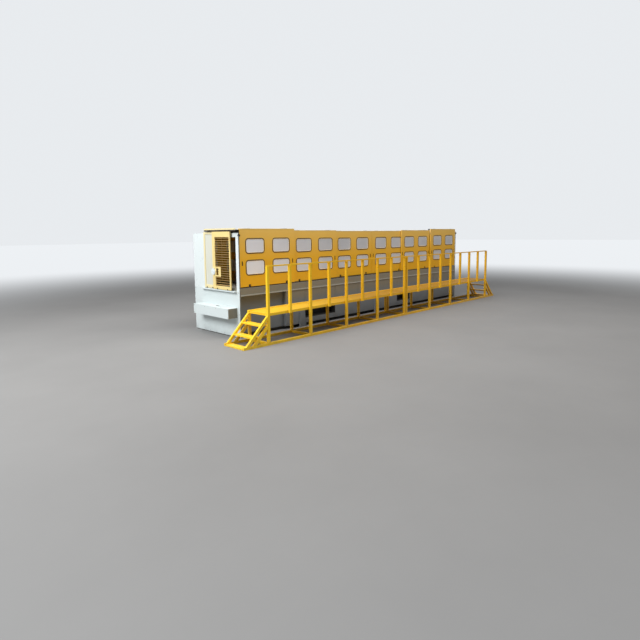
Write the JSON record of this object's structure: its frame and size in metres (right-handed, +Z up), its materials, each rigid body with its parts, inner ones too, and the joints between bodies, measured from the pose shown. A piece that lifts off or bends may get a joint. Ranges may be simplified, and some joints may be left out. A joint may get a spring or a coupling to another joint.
{
  "type": "multi-block rolling line",
  "caption": "Wire rolling line in a long housing with sliding windowed guard doors on a solid bed, sliding end doors, and a railed walkway with stairs at both ends.",
  "frame": {"origin": "on the floor, at the middle of the plan's bounding box", "axes": "+X along the line to its right end seen from the walkway, +Y from the walkway to the rear, +Z up"},
  "size_m": [12.048, 3.015, 2.6083],
  "materials": {
    "ochre_paint": "satin paint",
    "yellow_paint": "gloss paint",
    "warm_grey_paint": "satin paint",
    "pale_grey_paint": "satin paint",
    "white_paint": "satin paint",
    "dark_steel": "dark paint",
    "gaskets_and_panes": "clear panes in rubber gaskets",
    "window_pane": "clear sheet",
    "cast_blocks": "machined and ground"
  },
  "bodies": {
    "frame": {"bed_core": "warm_grey_paint", "front_band": "warm_grey_paint", "ledge_rib": "pale_grey_paint", "front_covers": "warm_grey_paint", "motor_pedestals": "warm_grey_paint", "left_end_panel": "pale_grey_paint", "right_end_panel": "pale_grey_paint", "step_box": "pale_grey_paint", "left_end_frame": "white_paint", "right_end_frame": "white_paint", "right_end_sheet": "ochre_paint", "corner_knobs": "dark_steel", "head_beam": "pale_grey_paint", "wheel_rails": "dark_steel", "roof_panels": "ochre_paint", "rear_panels": "ochre_paint", "rear_windows": "gaskets_and_panes", "drawing_blocks": "cast_blocks", "end_door_rail": "dark_steel", "end_rail_cover": "ochre_paint", "end_door_sill": "pale_grey_paint", "walk_deck": "yellow_paint", "walk_edges": "yellow_paint", "walk_bearers": "yellow_paint", "walk_posts": "yellow_paint", "handrail": "yellow_paint", "back_legs": "yellow_paint", "floor_rails": "yellow_paint", "floor_ties": "yellow_paint", "left_stringers": "yellow_paint", "left_treads": "yellow_paint", "right_stringers": "yellow_paint", "right_treads": "yellow_paint"},
    "sliding_door_1": {"door_1": "ochre_paint", "door_1_windows": "gaskets_and_panes", "door_1_fittings": "dark_steel"},
    "sliding_door_2": {"door_2": "ochre_paint", "door_2_windows": "gaskets_and_panes", "door_2_fittings": "dark_steel"},
    "sliding_door_3": {"door_3": "ochre_paint", "door_3_windows": "gaskets_and_panes", "door_3_fittings": "dark_steel"},
    "sliding_door_4": {"door_4": "ochre_paint", "door_4_windows": "gaskets_and_panes", "door_4_fittings": "dark_steel"},
    "sliding_door_5": {"door_5": "ochre_paint", "door_5_windows": "gaskets_and_panes", "door_5_fittings": "dark_steel"},
    "sliding_door_6": {"door_6": "ochre_paint", "door_6_windows": "gaskets_and_panes", "door_6_fittings": "dark_steel"},
    "louvred_leaf": {"louvre_leaf": "ochre_paint", "louvre_slats": "ochre_paint", "louvre_fittings": "dark_steel"},
    "glazed_leaf": {"glazed_leaf": "ochre_paint", "glazed_pane": "window_pane", "glazed_fittings": "dark_steel"}
  },
  "joints": [
    {"name": "slide_door_1", "type": "slide", "parent": "frame", "child": "sliding_door_1", "axis": [1, 0, 0], "range_m": [0, 3.3]},
    {"name": "slide_door_2", "type": "slide", "parent": "frame", "child": "sliding_door_2", "axis": [1, 0, 0], "range_m": [-1.66, 1.6]},
    {"name": "slide_door_3", "type": "slide", "parent": "frame", "child": "sliding_door_3", "axis": [-1, 0, 0], "range_m": [0, 3.35]},
    {"name": "slide_door_4", "type": "slide", "parent": "frame", "child": "sliding_door_4", "axis": [1, 0, 0], "range_m": [0, 3.25]},
    {"name": "slide_door_5", "type": "slide", "parent": "frame", "child": "sliding_door_5", "axis": [1, 0, 0], "range_m": [-1.6, 1.72]},
    {"name": "slide_door_6", "type": "slide", "parent": "frame", "child": "sliding_door_6", "axis": [-1, 0, 0], "range_m": [0, 3.3]},
    {"name": "slide_louvre", "type": "slide", "parent": "frame", "child": "louvred_leaf", "axis": [0, 1, 0], "range_m": [-0.12, 0.4]},
    {"name": "slide_glazed", "type": "slide", "parent": "frame", "child": "glazed_leaf", "axis": [0, -1, 0], "range_m": [0, 0.7]}
  ]
}
